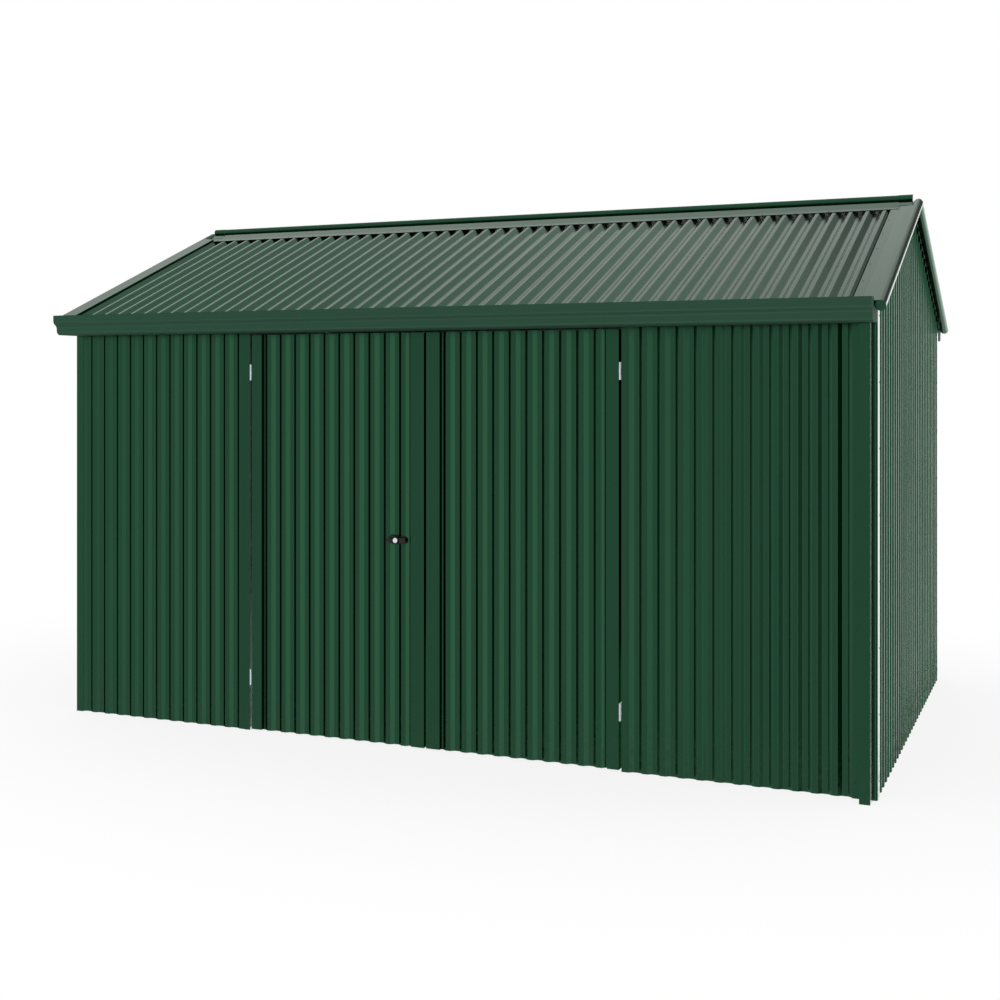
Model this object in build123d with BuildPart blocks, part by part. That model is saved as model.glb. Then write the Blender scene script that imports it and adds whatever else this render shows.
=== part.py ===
from build123d import *
import math
import os

# Gable-roof storage shed of ribbed sheet steel. Millimetres, +Z up, the origin on the ground
# under the middle of the shed, +X to the right and the doors towards -Y.

# Whole shed
shed_width = 4200.0
shed_depth = 2630.0
roof_pitch_deg = 22.5
eave_overhang = 105.0

# Gaps between pieces
seat_gap = 0.3
cut_overrun = 40.0
ground_gap = 2.0

# Ribbed cladding sheet
sheet = 1.0
rib_pitch = 84.0
rib_depth = 14.0
rib_slope = 19.5
rib_valley = 22.5
left_panel_margin = 49.0
right_panel_margin = 37.5
least_margin = 40.0
sheet_corner_gap = 15.0

# Corner flashings
flashing = 1.0
corner_radius = 12.0

# Doorway and doors; the doorway stands a little left of the middle
doorway_middle = -15.0
door_module = 980.0
door_gap = 12.0
door_height = 2005.0
door_ground_gap = 8.0
door_head_gap = 7.0
header_height = 104.6
door_thickness = 46.0
hinge_stile = 57.0
lock_stile = 71.0
stile_wall = 1.6
rail_height = 40.0
rail_wall = 1.6
mid_rail_rise = 82.5
door_first_valley = 14.0

# Hinges
hinge_height = 80.0
low_hinge_z = 231.0
high_hinge_drop = 230.0
knuckle_radius = 5.5
knuckle_sides = 12
pin_radius = 2.5
pin_clearance = 0.7
knuckle_gap = 0.6
leaf_thickness = 2.0
leaf_reach = 35.0
leaf_setback = 7.0

# Lock on the left door
lock_inset = 139.0
lock_height_share = 0.5
lock_plate_length = 112.0
lock_plate_height = 38.0
lock_plate_thickness = 4.0
lock_hub_radius = 18.5
lock_hub_depth = 25.0
lock_hub_proud = 2.0
grip_length = 106.0
grip_tall_end = 28.0
grip_slim_end = 13.0
grip_depth = 12.0
grip_edge = 2.5
barrel_radius = 12.0
barrel_seat_depth = 9.0
barrel_proud = 1.5
barrel_clearance = 0.4
spindle_radius = 6.0
spindle_clearance = 2.0
cam_reach = 178.0
cam_width = 24.0
cam_thickness = 3.0
cam_clearance = 5.5

# Frame inside the walls
channel_depth = 40.0
channel_height = 40.0
channel_wall = 1.6
girt_height_share = 0.463
top_plate_height = 50.0
post_width = 36.0
post_wall = 2.0
purlin_width = 60.0
purlin_height = 60.0
rafter_width = 40.0
rafter_height = 40.0

# Ridge cap and barge caps
roof_ridge_gap = 32.0
ridge_roll_radius = 18.0
ridge_roll_rise = 23.0
ridge_wing = 112.0
ridge_lip = 46.0
ridge_band_deg = 28.0
ridge_end_length = 70.0
ridge_end_reach = 1.0
ridge_end_wing = 58.0
barge_cover = 96.0
barge_roll_radius = 24.0
barge_roll_sink = 6.0
barge_roll_gap = 2.0
barge_end_reach = 8.0

# Gutters and downpipes
gutter_reach = 178.0
gutter_height = 102.0
gutter_drop = 102.0
gutter_back_height = 97.0
gutter_band = 38.0
gutter_ogee_inset = 27.0
gutter_ogee_height = 24.0
gutter_ogee_radius = 20.0
gutter_foot_radius = 24.0
gutter_lip_radius = 4.0
gutter_lip_return = 14.0
gutter_notch_height = 64.0
gutter_notch_reach = 116.0
pipe_width = 46.0
pipe_depth = 64.0
pipe_wall = 1.6
pipe_corner_gap = 20.0
pipe_wall_gap = 12.0

# Sizes and planes that several pieces share
pitch = math.radians(roof_pitch_deg)
half_width = shed_width / 2
half_depth = shed_depth / 2
front_crest = half_depth - flashing
side_crest = half_width - flashing
front_inner = front_crest - rib_depth - sheet
side_inner = side_crest - rib_depth - sheet
frame_side = side_inner - channel_depth
frame_front = front_inner - channel_depth
roof_thickness = rib_depth + sheet
header_bottom = door_height + door_head_gap
wall_top = header_bottom + header_height
roof_rise = half_depth * math.tan(pitch) + roof_thickness / math.cos(pitch)
ridge_height = wall_top + seat_gap + roof_rise
gutter_bottom = wall_top - gutter_drop
girt_z = wall_top * girt_height_share
slope_length = (half_depth + eave_overhang) / math.cos(pitch)
rib_crest = rib_pitch - 2 * rib_slope - rib_valley
valley_span = 2 * rib_slope + rib_valley
doorway_half = door_module + door_gap / 2
leaf_end = door_module - door_gap / 2
doorway_left = doorway_middle - doorway_half
doorway_right = doorway_middle + doorway_half
left_panel_length = half_width + doorway_left - sheet_corner_gap
right_panel_length = half_width - doorway_right - sheet_corner_gap
post_outer = doorway_half + post_width
pipe_x = half_width - pipe_corner_gap - pipe_width / 2
pipe_y = half_depth + pipe_wall_gap + pipe_depth / 2
high_hinge_z = door_height - high_hinge_drop
lock_x = doorway_middle - door_gap / 2 - lock_inset
lock_z = door_height * lock_height_share
mid_rail_z = lock_z + mid_rail_rise
lock_plate_front = front_crest + lock_plate_thickness
spindle_hole = spindle_radius + spindle_clearance

FRONT, BACK = -1, 1
LEFT, RIGHT = -1, 1

os.makedirs("parts", exist_ok=True)


def write(piece, name):
    """Label a finished piece and write it as its own file."""
    piece.part.label = name
    export_step(piece.part, f"parts/{name}.step")


def even_margin(length):
    """Flat left at each end of a wall whose ribs are centred on its length."""
    ribs = (length - 2 * least_margin - valley_span) // rib_pitch
    return (length - ribs * rib_pitch - valley_span) / 2


def ribbed_outline(length, first_bend, low=False, end_flat=0.0):
    """Closed outline of a ribbed sheet: crests at zero, valleys below, edges high or low."""
    base = -rib_depth if low else 0.0
    rise = rib_depth if low else -rib_depth
    flat = rib_crest if low else rib_valley
    bend = sheet * math.tan(math.atan2(rib_depth, rib_slope) / 2)
    bend = bend if low else -bend
    outer = [(0.0, base)]
    inner = [(0.0, base - sheet)]
    ribs = 1 + int((length - end_flat - first_bend - 2 * rib_slope - flat) // rib_pitch)
    for rib in range(ribs):
        foot = first_bend + rib * rib_pitch
        top = foot + rib_slope
        for along, level, shift in (
            (foot, base, bend),
            (top, base + rise, bend),
            (top + flat, base + rise, -bend),
            (top + flat + rib_slope, base, -bend),
        ):
            outer.append((along, level))
            inner.append((along + shift, level - sheet))
    outer.append((length, base))
    inner.append((length, base - sheet))
    return outer + inner[::-1]


def outline_face(points, mode=Mode.ADD):
    """Fill a closed outline of straight edges in the sketch that is being drawn."""
    with BuildLine() as outline:
        Polyline(*points, close=True)
    make_face(outline.edges(), mode=mode)


def slope_plane(side):
    """Plane across a roof slope: x along the ridge, y out of the roof, z down the slope."""
    down = (0, side * math.cos(pitch), -math.sin(pitch))
    return Plane(origin=(0, 0, ridge_height), x_dir=(-side, 0, 0), z_dir=down)


def roof_underside(side, below):
    """Plane that lies a given distance below one slope of the roof."""
    normal = Vector(0, side * math.sin(pitch), math.cos(pitch))
    return Plane(origin=Vector(0, 0, ridge_height) - normal * below, z_dir=normal)


def channel_plane(x, y, z, inward):
    """Plane across a level channel: x into the shed, y up."""
    return Plane(origin=(x, y, z), x_dir=inward, z_dir=Vector(*inward).cross(Vector(0, 0, 1)))


def channel_outline(height):
    """C section with its back at zero and its mouth towards +x."""
    return [
        (0, 0),
        (channel_depth, 0),
        (channel_depth, channel_wall),
        (channel_wall, channel_wall),
        (channel_wall, height - channel_wall),
        (channel_depth, height - channel_wall),
        (channel_depth, height),
        (0, height),
    ]


def tube_face(width, depth, wall):
    """Rectangular tube section round the sketch's origin."""
    Rectangle(width, depth)
    Rectangle(width - 2 * wall, depth - 2 * wall, mode=Mode.SUBTRACT)


# Front panels beside the doors
with BuildPart() as front_left_wall:
    start = (-half_width + sheet_corner_gap, -front_crest, wall_top)
    with BuildSketch(Plane(origin=start, x_dir=(1, 0, 0), z_dir=(0, 0, -1))):
        outline_face(ribbed_outline(left_panel_length, left_panel_margin - sheet_corner_gap))
    extrude(amount=wall_top - ground_gap)
write(front_left_wall, "front_left_wall")

with BuildPart() as front_right_wall:
    start = (doorway_right, -front_crest, wall_top)
    with BuildSketch(Plane(origin=start, x_dir=(1, 0, 0), z_dir=(0, 0, -1))):
        corner_lap = least_margin - sheet_corner_gap
        outline_face(ribbed_outline(right_panel_length, right_panel_margin, end_flat=corner_lap))
    extrude(amount=wall_top - ground_gap)
write(front_right_wall, "front_right_wall")

# Strip over the doors, folded back at its top and bottom edges
header_depth = front_crest - front_inner
with BuildPart() as front_header:
    with BuildSketch(channel_plane(doorway_middle, -front_crest, header_bottom, (0, 1, 0))):
        outline_face([
            (0, 0),
            (header_depth, 0),
            (header_depth, sheet),
            (sheet, sheet),
            (sheet, header_height - sheet),
            (header_depth, header_height - sheet),
            (header_depth, header_height),
            (0, header_height),
        ])
    extrude(amount=doorway_half - seat_gap, both=True)
write(front_header, "front_header")

with BuildPart() as back_wall:
    start = (-half_width + sheet_corner_gap, front_crest, ground_gap)
    with BuildSketch(Plane(origin=start, x_dir=(1, 0, 0), z_dir=(0, 0, 1))):
        back_bend = even_margin(shed_width) - sheet_corner_gap
        outline_face(ribbed_outline(shed_width - 2 * sheet_corner_gap, back_bend))
    extrude(amount=wall_top - ground_gap)
write(back_wall, "back_wall")

# Gable walls, cut to the slopes of the roof
for hand, name in ((LEFT, "left_gable_wall"), (RIGHT, "right_gable_wall")):
    with BuildPart() as gable_wall:
        start = (hand * side_crest, hand * (half_depth - sheet_corner_gap), ground_gap)
        with BuildSketch(Plane(origin=start, x_dir=(0, -hand, 0), z_dir=(0, 0, 1))):
            gable_bend = even_margin(shed_depth) - sheet_corner_gap
            outline_face(ribbed_outline(shed_depth - 2 * sheet_corner_gap, gable_bend))
        extrude(amount=ridge_height)
        for side in (FRONT, BACK):
            split(bisect_by=roof_underside(side, sheet + seat_gap), keep=Keep.BOTTOM)
    write(gable_wall, name)

# Rounded corner flashings, which lap over the edges of the sheets
gable_flange = even_margin(shed_depth)
back_flange = even_margin(shed_width)
right_ribs = (right_panel_length - corner_lap - right_panel_margin - valley_span) // rib_pitch
right_rib_run = right_panel_margin + right_ribs * rib_pitch + valley_span
right_flange = half_width - doorway_right - right_rib_run
for hand, side, flange, name in (
    (LEFT, FRONT, left_panel_margin, "front_left_corner"),
    (RIGHT, FRONT, right_flange, "front_right_corner"),
    (LEFT, BACK, back_flange, "back_left_corner"),
    (RIGHT, BACK, back_flange, "back_right_corner"),
):
    with BuildPart() as corner:
        turn = hand * side
        start = (hand * half_width, side * half_depth, 0.0 if turn > 0 else wall_top)
        with BuildSketch(Plane(origin=start, x_dir=(-hand, 0, 0), z_dir=(0, 0, turn))):
            mid_outer = corner_radius * (1 - math.sqrt(0.5))
            mid_inner = corner_radius - (corner_radius - flashing) * math.sqrt(0.5)
            with BuildLine():
                Polyline(
                    (corner_radius, 0),
                    (flange, 0),
                    (flange, flashing),
                    (corner_radius, flashing),
                )
                ThreePointArc(
                    (corner_radius, flashing),
                    (mid_inner, mid_inner),
                    (flashing, corner_radius),
                )
                Polyline(
                    (flashing, corner_radius),
                    (flashing, gable_flange),
                    (0, gable_flange),
                    (0, corner_radius),
                )
                ThreePointArc((0, corner_radius), (mid_outer, mid_outer), (corner_radius, 0))
            make_face()
        extrude(amount=wall_top)
    write(corner, name)

# Roof sheets
for side, name in ((FRONT, "front_roof"), (BACK, "back_roof")):
    with BuildPart() as roof:
        across = slope_plane(side).offset(roof_ridge_gap)
        across.origin = across.origin - across.x_dir * half_width
        with BuildSketch(across):
            outline_face(ribbed_outline(shed_width, even_margin(shed_width)))
        extrude(amount=slope_length - roof_ridge_gap)
    write(roof, name)


band_slope = math.tan(math.radians(ridge_band_deg))
ridge_fold = ridge_wing - ridge_lip


def lip_point(level, wing):
    """Point on the lip of a ridge wing, some level above the roof, on the +y side."""
    y = wing * math.cos(pitch) + level * math.sin(pitch)
    return y, ridge_height - wing * math.sin(pitch) + level * math.cos(pitch)


def band_apex(level):
    """Height where the steeper upper bands of two ridge wings would meet."""
    fold_y, fold_z = lip_point(level, ridge_fold)
    return fold_z + fold_y * band_slope


def wing_points(level, wing):
    """Lower edge of a ridge wing, and its fold where the wing reaches past it, on the +y side."""
    if wing > ridge_fold:
        return [lip_point(level, wing), lip_point(level, ridge_fold)]
    y, _ = lip_point(level, wing)
    return [(y, band_apex(level) - y * band_slope)]


def roll_foot(level, radius):
    """Point where the upper band of a wing meets the ridge roll, on the +y side."""
    apex = band_apex(level)
    rise = apex - ridge_height - ridge_roll_rise
    spread = 1 + band_slope**2
    y = (rise * band_slope + math.sqrt(spread * radius**2 - rise**2)) / spread
    return y, apex - y * band_slope


def ridge_face(lift, radius, wing):
    """Section of a roll-top cap whose wings lie a given lift above the roof."""
    edges = []
    with BuildLine() as outline:
        for level, roll in ((lift + flashing, radius), (lift, radius - flashing)):
            foot = roll_foot(level, roll)
            points = [*wing_points(level, wing), foot]
            edges.append(points[0])
            Polyline(*points)
            Polyline(*[(-y, z) for y, z in points])
            crown = (0, ridge_height + ridge_roll_rise + roll)
            ThreePointArc((-foot[0], foot[1]), crown, foot)
        for way in (-1, 1):
            Line(*[(way * y, z) for y, z in edges])
    make_face(outline.edges())


# Ridge cap with a rolled top, laid over the barge caps, and a closed piece over each end
with BuildPart() as ridge_cap:
    with BuildSketch(Plane.YZ):
        ridge_face(flashing, ridge_roll_radius, ridge_wing)
    extrude(amount=half_width, both=True)
write(ridge_cap, "ridge_cap")

end_roll_radius = ridge_roll_radius + seat_gap + flashing
with BuildPart() as ridge_ends:
    for hand in (LEFT, RIGHT):
        outer_end = hand * (half_width + ridge_end_reach)
        with BuildSketch(Plane.YZ.offset(outer_end)):
            ridge_face(2 * flashing, end_roll_radius, ridge_end_wing)
        extrude(amount=-hand * ridge_end_length)
        with BuildSketch(Plane.YZ.offset(outer_end)):
            with Locations((0, ridge_height + ridge_roll_rise)):
                Circle(end_roll_radius)
            edge_y, edge_z = wing_points(2 * flashing, ridge_end_wing)[0]
            apex = (0, band_apex(2 * flashing))
            outline_face([(-edge_y, edge_z), apex, (edge_y, edge_z)], mode=Mode.SUBTRACT)
        extrude(amount=-hand * flashing)
write(ridge_ends, "ridge_ends")


# Barge caps: a wing on the roof, a roll along the gable and a disc that closes its lower end
roll_middle = half_width + barge_roll_gap + barge_roll_radius
for side, hand, name in (
    (FRONT, LEFT, "front_left_barge"),
    (FRONT, RIGHT, "front_right_barge"),
    (BACK, LEFT, "back_left_barge"),
    (BACK, RIGHT, "back_right_barge"),
):
    with BuildPart() as barge:
        turn = -side * hand
        wing_inner = half_width - barge_cover
        wing_outer = roll_middle - barge_roll_radius + 2 * flashing
        with BuildSketch(slope_plane(side).offset(-cut_overrun)):
            outline_face([
                (turn * wing_inner, 0),
                (turn * wing_outer, 0),
                (turn * wing_outer, flashing),
                (turn * wing_inner, flashing),
            ])
            with Locations((turn * roll_middle, -barge_roll_sink)):
                Circle(barge_roll_radius)
                Circle(barge_roll_radius - flashing, mode=Mode.SUBTRACT)
        extrude(amount=cut_overrun + slope_length + barge_end_reach)
        with BuildSketch(slope_plane(side).offset(slope_length + barge_end_reach)):
            with Locations((turn * roll_middle, -barge_roll_sink)):
                Circle(barge_roll_radius)
        extrude(amount=-flashing)
        split(bisect_by=Plane.XZ, keep=Keep.TOP if side == FRONT else Keep.BOTTOM)
    write(barge, name)


def rounded_face(corners):
    """Fill an outline whose corners are given as points with the radius of their round."""
    points = [Vector(x, y) for x, y, _ in corners]
    count = len(corners)
    rounds = []
    for index in range(count):
        into = (points[index] - points[index - 1]).normalized()
        onward = (points[(index + 1) % count] - points[index]).normalized()
        turn = math.acos(max(-1.0, min(1.0, into.dot(onward))))
        setback = corners[index][2] * math.tan(turn / 2)
        rounds.append((points[index] - into * setback, points[index] + onward * setback, into))
    with BuildLine() as outline:
        for index, (start, end, into) in enumerate(rounds):
            Line(rounds[index - 1][1], start)
            if corners[index][2] > 0:
                TangentArc(start, end, tangent=into)
    make_face(outline.edges())


def gutter_outline():
    """Closed outline of a gutter: x away from the wall, y up from its bottom."""
    face_foot = gutter_reach - gutter_ogee_inset
    ogee_top = gutter_height - gutter_band
    rounded_face([
        (0, 0, 0.0),
        (0, gutter_height, 0.0),
        (gutter_reach, gutter_height, gutter_lip_radius),
        (gutter_reach, ogee_top, gutter_ogee_radius),
        (face_foot, ogee_top - gutter_ogee_height, gutter_ogee_radius),
        (face_foot, 0, gutter_foot_radius),
    ])


# Gutters with an ogee face, closed at both ends and open over the downpipe
gutter_back = half_depth + seat_gap
for side, name in ((FRONT, "front_gutter"), (BACK, "back_gutter")):
    with BuildPart() as gutter:
        across = Plane(
            origin=(0, side * gutter_back, gutter_bottom),
            x_dir=(0, side, 0),
            z_dir=(side, 0, 0),
        )
        with BuildSketch(across):
            gutter_outline()
            offset(amount=-flashing, kind=Kind.INTERSECTION, mode=Mode.SUBTRACT)
            mouth_edge = gutter_reach - gutter_lip_return
            with Locations((mouth_edge, gutter_back_height)):
                Rectangle(
                    mouth_edge + cut_overrun,
                    gutter_height,
                    align=(Align.MAX, Align.MIN),
                    mode=Mode.SUBTRACT,
                )
        extrude(amount=half_width, both=True)
        for end in (-1, 1):
            with BuildSketch(across.offset(end * half_width)):
                gutter_outline()
                with Locations((gutter_notch_reach, gutter_notch_height)):
                    Rectangle(
                        gutter_notch_reach + cut_overrun,
                        gutter_height,
                        align=(Align.MAX, Align.MIN),
                        mode=Mode.SUBTRACT,
                    )
            extrude(amount=-end * flashing)
        with BuildSketch(Plane.XY.offset(gutter_bottom)):
            with Locations((pipe_x, side * pipe_y)):
                Rectangle(pipe_width - 2 * pipe_wall, pipe_depth - 2 * pipe_wall)
        extrude(amount=flashing, mode=Mode.SUBTRACT)
    write(gutter, name)

for side, name in ((FRONT, "front_downpipe"), (BACK, "back_downpipe")):
    with BuildPart() as downpipe:
        with BuildSketch():
            with Locations((pipe_x, side * pipe_y)):
                tube_face(pipe_width, pipe_depth, pipe_wall)
        extrude(amount=gutter_bottom)
    write(downpipe, name)

# Base channels and mid-height girts, in the same places at two heights
for height, name in ((0.0, "base_channel"), (girt_z, "girt")):
    for hand, label in ((LEFT, "left"), (RIGHT, "right")):
        with BuildPart() as side_channel:
            with BuildSketch(channel_plane(hand * side_inner, 0, height, (-hand, 0, 0))):
                outline_face(channel_outline(channel_height))
            extrude(amount=front_inner, both=True)
        write(side_channel, f"{label}_{name}")
    with BuildPart() as back_channel:
        with BuildSketch(channel_plane(0, front_inner, height, (0, -1, 0))):
            outline_face(channel_outline(channel_height))
        extrude(amount=frame_side, both=True)
    write(back_channel, f"back_{name}")
    with BuildPart() as front_channels:
        left_run = frame_side + doorway_middle - post_outer
        right_run = frame_side - doorway_middle - post_outer
        for start, run in ((-frame_side, left_run), (frame_side - right_run, right_run)):
            with BuildSketch(channel_plane(start, -front_inner, height, (0, 1, 0))):
                outline_face(channel_outline(channel_height))
            extrude(amount=run)
    write(front_channels, f"front_{name}s")

# Top plates under the eaves
for side, name in ((FRONT, "front_top_plate"), (BACK, "back_top_plate")):
    with BuildPart() as top_plate:
        plate_bottom = wall_top - top_plate_height
        with BuildSketch(channel_plane(0, side * front_inner, plate_bottom, (0, -side, 0))):
            outline_face(channel_outline(top_plate_height))
        extrude(amount=side_inner, both=True)
    write(top_plate, name)

# Gable rafters, one bent pair at each end, and the ridge purlin between them
for hand, name in ((LEFT, "left_rafters"), (RIGHT, "right_rafters")):
    with BuildPart() as rafters:
        top = -roof_thickness - seat_gap
        with BuildSketch(slope_plane(FRONT).offset(-cut_overrun)):
            with Locations((hand * (side_inner - rafter_width / 2), top - rafter_height / 2)):
                tube_face(rafter_width, rafter_height, channel_wall)
        extrude(amount=slope_length)
        split(bisect_by=Plane.XZ, keep=Keep.TOP)
        split(bisect_by=Plane.XZ.offset(frame_front), keep=Keep.BOTTOM)
        mirror(about=Plane.XZ)
    write(rafters, name)

with BuildPart() as ridge_purlin:
    purlin_drop = roof_thickness / math.cos(pitch) + purlin_width / 2 * math.tan(pitch)
    purlin_top = ridge_height - purlin_drop - seat_gap
    with BuildSketch(Plane.YZ):
        with Locations((0, purlin_top - purlin_height / 2)):
            tube_face(purlin_width, purlin_height, channel_wall)
    extrude(amount=side_inner - rafter_width, both=True)
write(ridge_purlin, "ridge_purlin")

# Posts at the sides of the doorway
with BuildPart() as door_posts:
    post_front = front_crest - sheet
    post_depth = post_front - frame_front
    with BuildSketch():
        for hand in (LEFT, RIGHT):
            post_x = doorway_middle + hand * (doorway_half + post_width / 2)
            with Locations((post_x, -post_front + post_depth / 2)):
                tube_face(post_width, post_depth, post_wall)
    extrude(amount=wall_top - top_plate_height)
write(door_posts, "door_posts")


def leaf_face(axis_x, hand, start, reach):
    """Strip of hinge leaf on one side of the door gap, over a stretch behind the pin."""
    leaf_middle = axis_x + hand * (door_gap - leaf_thickness) / 2
    with Locations((leaf_middle, -half_depth + (start + reach) / 2)):
        Rectangle(leaf_thickness, reach - start)


def hinge_half(axis_x, hand, bottom, spans, bore=0.0):
    """One half of a hinge: a flat leaf, and knuckles, bored or solid, over spans of its height."""
    with BuildSketch(Plane.XY.offset(bottom)) as leaf:
        leaf_face(axis_x, hand, leaf_setback, leaf_reach)
    extrude(leaf.sketch, amount=hinge_height)
    for low, high in spans:
        with BuildSketch(Plane.XY.offset(bottom + low)) as knuckle:
            leaf_face(axis_x, hand, 0.0, leaf_setback)
            with Locations((axis_x, -half_depth)):
                RegularPolygon(knuckle_radius, knuckle_sides)
                if bore > 0:
                    RegularPolygon(bore, knuckle_sides, mode=Mode.SUBTRACT)
        extrude(knuckle.sketch, amount=high - low)


third = hinge_height / 3
pin_start = third - knuckle_gap / 2
pin_end = 2 * third + knuckle_gap / 2
fixed_spans = ((0.0, pin_start), (pin_end, hinge_height))
moving_spans = ((third + knuckle_gap / 2, 2 * third - knuckle_gap / 2),)
hinge_places = (low_hinge_z, high_hinge_z)

with BuildPart() as hinge_leaves:
    for hand in (LEFT, RIGHT):
        hinge_x = doorway_middle + hand * door_module
        for bottom in hinge_places:
            hinge_half(hinge_x, hand, bottom, fixed_spans)
            with BuildSketch(Plane.XY.offset(bottom + pin_start)):
                with Locations((hinge_x, -half_depth)):
                    RegularPolygon(pin_radius, knuckle_sides)
            extrude(amount=pin_end - pin_start)
write(hinge_leaves, "hinge_leaves")

# Doors: two stiles, three rails behind the sheet, the ribbed sheet and the moving hinge leaves
door_rise = door_height - door_ground_gap
rail_depth = door_thickness - (half_depth - front_inner)
rail_y = -front_inner + rail_depth / 2
sheet_run = door_module - door_gap - hinge_stile - lock_stile
for hand, label, first_stile, last_stile in (
    (LEFT, "left", hinge_stile, lock_stile),
    (RIGHT, "right", lock_stile, hinge_stile),
):
    leaf_left = doorway_middle + (-leaf_end if hand == LEFT else door_gap / 2)
    sheet_left = leaf_left + first_stile
    sheet_right = sheet_left + sheet_run
    with BuildPart() as door_stiles:
        with BuildSketch(Plane.XY.offset(door_ground_gap)):
            for left, width in ((leaf_left, first_stile), (sheet_right, last_stile)):
                with Locations((left + width / 2, -half_depth + door_thickness / 2)):
                    tube_face(width, door_thickness, stile_wall)
        extrude(amount=door_rise)
    write(door_stiles, f"{label}_door_stiles")

    with BuildPart() as door_rails:
        for bottom in (door_ground_gap, mid_rail_z, door_height - rail_height):
            middle = (sheet_left + seat_gap, rail_y, bottom + rail_height / 2)
            with BuildSketch(Plane(origin=middle, x_dir=(0, 1, 0), z_dir=(1, 0, 0))):
                tube_face(rail_depth, rail_height, rail_wall)
            extrude(amount=sheet_run - 2 * seat_gap)
    write(door_rails, f"{label}_door_rails")

    with BuildPart() as door_sheet:
        start = (sheet_left + seat_gap, -front_crest, door_height)
        with BuildSketch(Plane(origin=start, x_dir=(1, 0, 0), z_dir=(0, 0, -1))):
            outline_face(ribbed_outline(sheet_run - 2 * seat_gap, door_first_valley, low=True))
        extrude(amount=door_rise)
        if hand == LEFT:
            with BuildSketch(Plane.XZ.offset(front_inner)):
                with Locations((lock_x, lock_z)):
                    Circle(spindle_hole)
            extrude(amount=rib_depth + sheet, mode=Mode.SUBTRACT)
    write(door_sheet, f"{label}_door_sheet")

    with BuildPart() as door_hinges:
        for bottom in hinge_places:
            bore = pin_radius + pin_clearance
            hinge_half(doorway_middle + hand * door_module, -hand, bottom, moving_spans, bore)
    write(door_hinges, f"{label}_door_hinges")

# Lock on the left door: an oval plate on two crests, a turning grip with its spindle and cam
with BuildPart() as lock_plate:
    with BuildSketch(Plane.XZ.offset(front_crest)):
        with Locations((lock_x, lock_z)):
            SlotOverall(lock_plate_length, lock_plate_height)
            Circle(spindle_hole, mode=Mode.SUBTRACT)
    extrude(amount=lock_plate_thickness)
write(lock_plate, "lock_plate")

hub_back = lock_plate_front + seat_gap
grip_front = hub_back + lock_hub_depth
hub_front = grip_front + lock_hub_proud
cam_front = half_depth - door_thickness - cam_clearance
with BuildPart() as lock_handle:
    with BuildSketch(Plane.XZ.offset(grip_front)):
        with Locations((lock_x - grip_length / 2 + grip_slim_end / 2, lock_z)):
            Circle(grip_slim_end / 2)
        with Locations((lock_x + grip_length / 2 - grip_tall_end / 2, lock_z)):
            Circle(grip_tall_end / 2)
        make_hull()
    extrude(amount=-grip_depth)
    chamfer(faces().sort_by(Axis.Y)[0].edges(), length=grip_edge)
    with BuildSketch(Plane.XZ.offset(hub_back)):
        with Locations((lock_x, lock_z)):
            Circle(lock_hub_radius)
    extrude(amount=lock_hub_depth + lock_hub_proud)
    with BuildSketch(Plane.XZ.offset(hub_front)):
        with Locations((lock_x, lock_z)):
            Circle(barrel_radius + barrel_clearance)
    extrude(amount=-barrel_seat_depth, mode=Mode.SUBTRACT)
    with BuildSketch(Plane.XZ.offset(cam_front - cam_thickness)):
        with Locations((lock_x, lock_z)):
            Circle(spindle_radius)
    extrude(amount=hub_back - cam_front + cam_thickness)
    with BuildSketch(Plane.XZ.offset(cam_front - cam_thickness)):
        with Locations((lock_x, lock_z)):
            Circle(cam_width / 2)
        with Locations((lock_x, lock_z + cam_reach - cam_width / 2)):
            Circle(cam_width / 2)
        make_hull()
    extrude(amount=cam_thickness)
write(lock_handle, "lock_handle")

with BuildPart() as lock_barrel:
    with BuildSketch(Plane.XZ.offset(hub_front - barrel_seat_depth)):
        with Locations((lock_x, lock_z)):
            Circle(barrel_radius)
    extrude(amount=barrel_seat_depth + barrel_proud)
write(lock_barrel, "lock_barrel")
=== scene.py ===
import logging
import math
from dataclasses import dataclass, field
from enum import Enum
from typing import Any, ClassVar, Iterable, Mapping, Sequence

import bmesh
import bpy
from mathutils import Matrix, Vector


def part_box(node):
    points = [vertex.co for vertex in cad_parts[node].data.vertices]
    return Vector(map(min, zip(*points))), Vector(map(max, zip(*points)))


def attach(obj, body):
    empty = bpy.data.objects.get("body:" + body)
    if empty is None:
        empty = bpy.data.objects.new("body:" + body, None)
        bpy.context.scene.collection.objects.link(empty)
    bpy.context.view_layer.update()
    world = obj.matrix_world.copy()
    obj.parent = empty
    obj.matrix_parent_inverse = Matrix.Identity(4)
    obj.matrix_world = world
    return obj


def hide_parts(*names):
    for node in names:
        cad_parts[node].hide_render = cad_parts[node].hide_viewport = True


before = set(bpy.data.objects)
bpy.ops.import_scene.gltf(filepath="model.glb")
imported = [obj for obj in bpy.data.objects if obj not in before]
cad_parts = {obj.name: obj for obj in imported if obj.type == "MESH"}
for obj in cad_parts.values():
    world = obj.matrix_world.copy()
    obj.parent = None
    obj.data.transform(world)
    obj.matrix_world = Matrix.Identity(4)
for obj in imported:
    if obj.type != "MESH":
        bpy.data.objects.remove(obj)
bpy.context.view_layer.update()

LOG = logging.getLogger("shed")
RGB = tuple[float, float, float]
Way = tuple[float, float, float]

# Cosine above which a face lies square to a given way.
SQUARE_ON = 0.998
# Vertices nearer than this are one, in metres.
MERGE = 1e-5
# Slope of the roof, and the way out of each side of it.
PITCH = math.radians(22.5)
ROOF_OUT: dict[str, Way] = {
    "front": (0.0, -math.sin(PITCH), math.cos(PITCH)),
    "back": (0.0, math.sin(PITCH), math.cos(PITCH)),
}


class Slot(Enum):
    """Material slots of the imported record."""

    GREEN = "green_paint"
    FRAME = "inner_frame"
    STEEL = "hinge_steel"
    BLACK = "lock_black"
    SILVER = "barrel_metal"


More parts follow.
